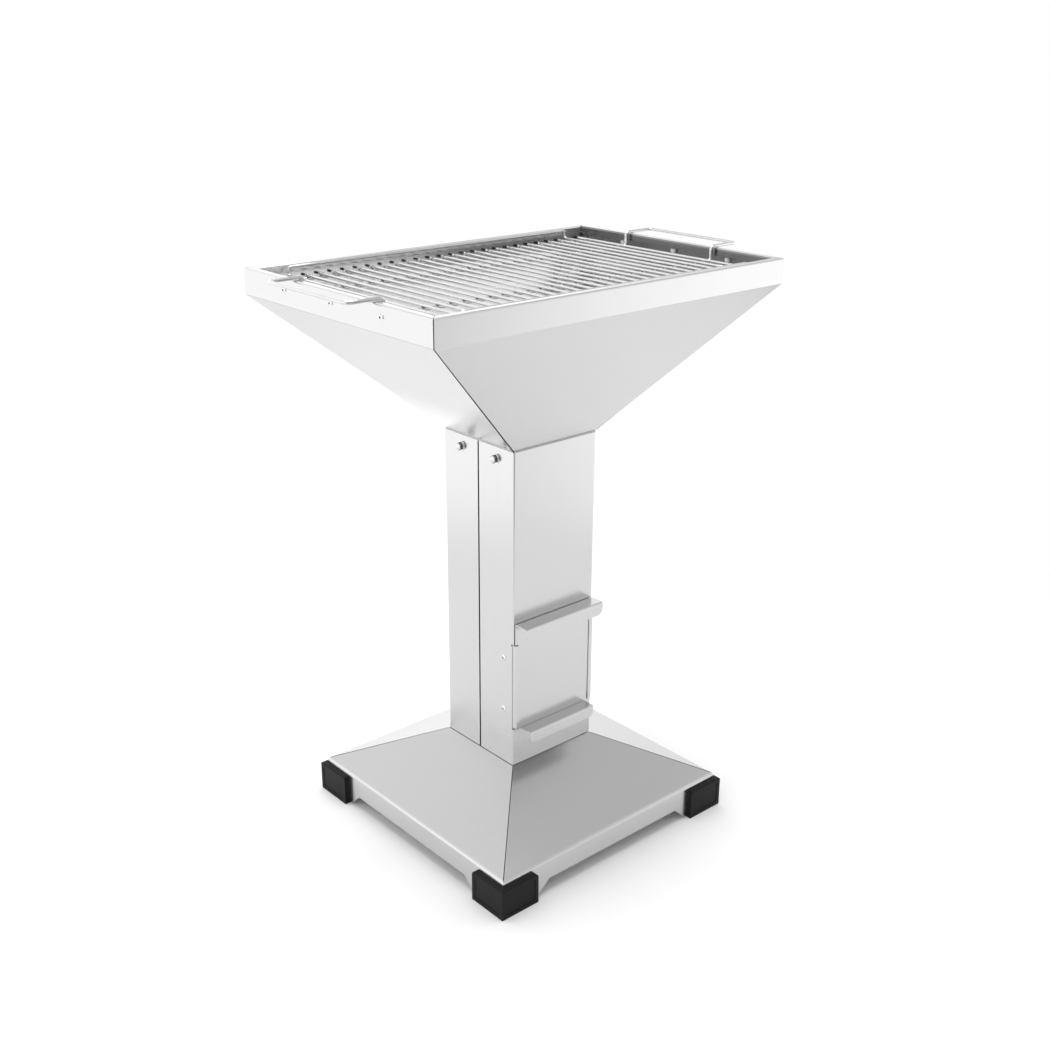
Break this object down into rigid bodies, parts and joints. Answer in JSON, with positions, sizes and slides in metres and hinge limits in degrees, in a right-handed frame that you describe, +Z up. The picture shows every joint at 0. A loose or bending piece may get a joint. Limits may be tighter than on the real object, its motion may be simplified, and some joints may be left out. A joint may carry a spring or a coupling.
{
  "type": "barbecue grill",
  "caption": "Free-standing charcoal grill of folded sheet steel: rectangular funnel bowl on a square chimney column with air slider and ash drawer, over a pyramid base with corner caps",
  "frame": {"origin": "On the floor, under the middle of the column and of the bowl", "axes": "+X along the long side of the bowl towards its right end, -Y towards the side with the air slider and the ash drawer, +Z up"},
  "size_m": [0.696, 0.449, 0.8533],
  "materials": {
    "satin_sheet": "bright satin stainless sheet with a fine grain and soft, blurred reflections",
    "bright_wire": "electropolished stainless wire, bright",
    "fastener_steel": "polished stainless bolts, nuts, screws and washers",
    "cap_plastic": "black moulded plastic with a soft sheen"
  },
  "bodies": {
    "stand": {"base_shell": "satin_sheet", "foot_cap_front_left": "cap_plastic", "foot_cap_front_right": "cap_plastic", "foot_cap_rear_left": "cap_plastic", "foot_cap_rear_right": "cap_plastic", "column_front": "satin_sheet", "column_rear": "satin_sheet", "foot_bolts": "fastener_steel", "foot_nuts": "fastener_steel", "guide_rail_left": "satin_sheet", "guide_rail_right": "satin_sheet", "rail_screws": "fastener_steel", "rail_nuts": "fastener_steel", "bowl_front": "satin_sheet", "bowl_rear": "satin_sheet", "bowl_left": "satin_sheet", "bowl_right": "satin_sheet", "seam_strips": "satin_sheet", "corner_angles": "satin_sheet", "neck_bolts": "fastener_steel", "neck_washers": "fastener_steel", "cap_nuts": "fastener_steel", "rim_screws": "fastener_steel", "rim_nuts": "fastener_steel"},
    "slider": {"air_slider": "satin_sheet"},
    "drawer": {"drawer_front": "satin_sheet", "ash_tray": "satin_sheet"},
    "coal_tray": {"charcoal_grate": "satin_sheet", "charcoal_loops": "bright_wire"},
    "cooking_grate": {"grate_rods": "bright_wire", "grate_bars": "bright_wire", "grate_handle_left": "bright_wire", "grate_handle_right": "bright_wire", "guard_rail_front": "bright_wire", "guard_rail_rear": "bright_wire"}
  },
  "joints": [
    {"name": "slider_lift", "type": "slide", "parent": "stand", "child": "slider", "axis": [0, 0, 1], "range_m": [0, 0.08]},
    {"name": "drawer_pull", "type": "slide", "parent": "stand", "child": "drawer", "axis": [0, -1, 0], "range_m": [0, 0.12]},
    {"name": "coal_lift", "type": "slide", "parent": "stand", "child": "coal_tray", "axis": [0, 0, 1], "range_m": [0, 0.1]},
    {"name": "grate_lift", "type": "slide", "parent": "stand", "child": "cooking_grate", "axis": [0, 0, 1], "range_m": [0, 0.1]}
  ]
}
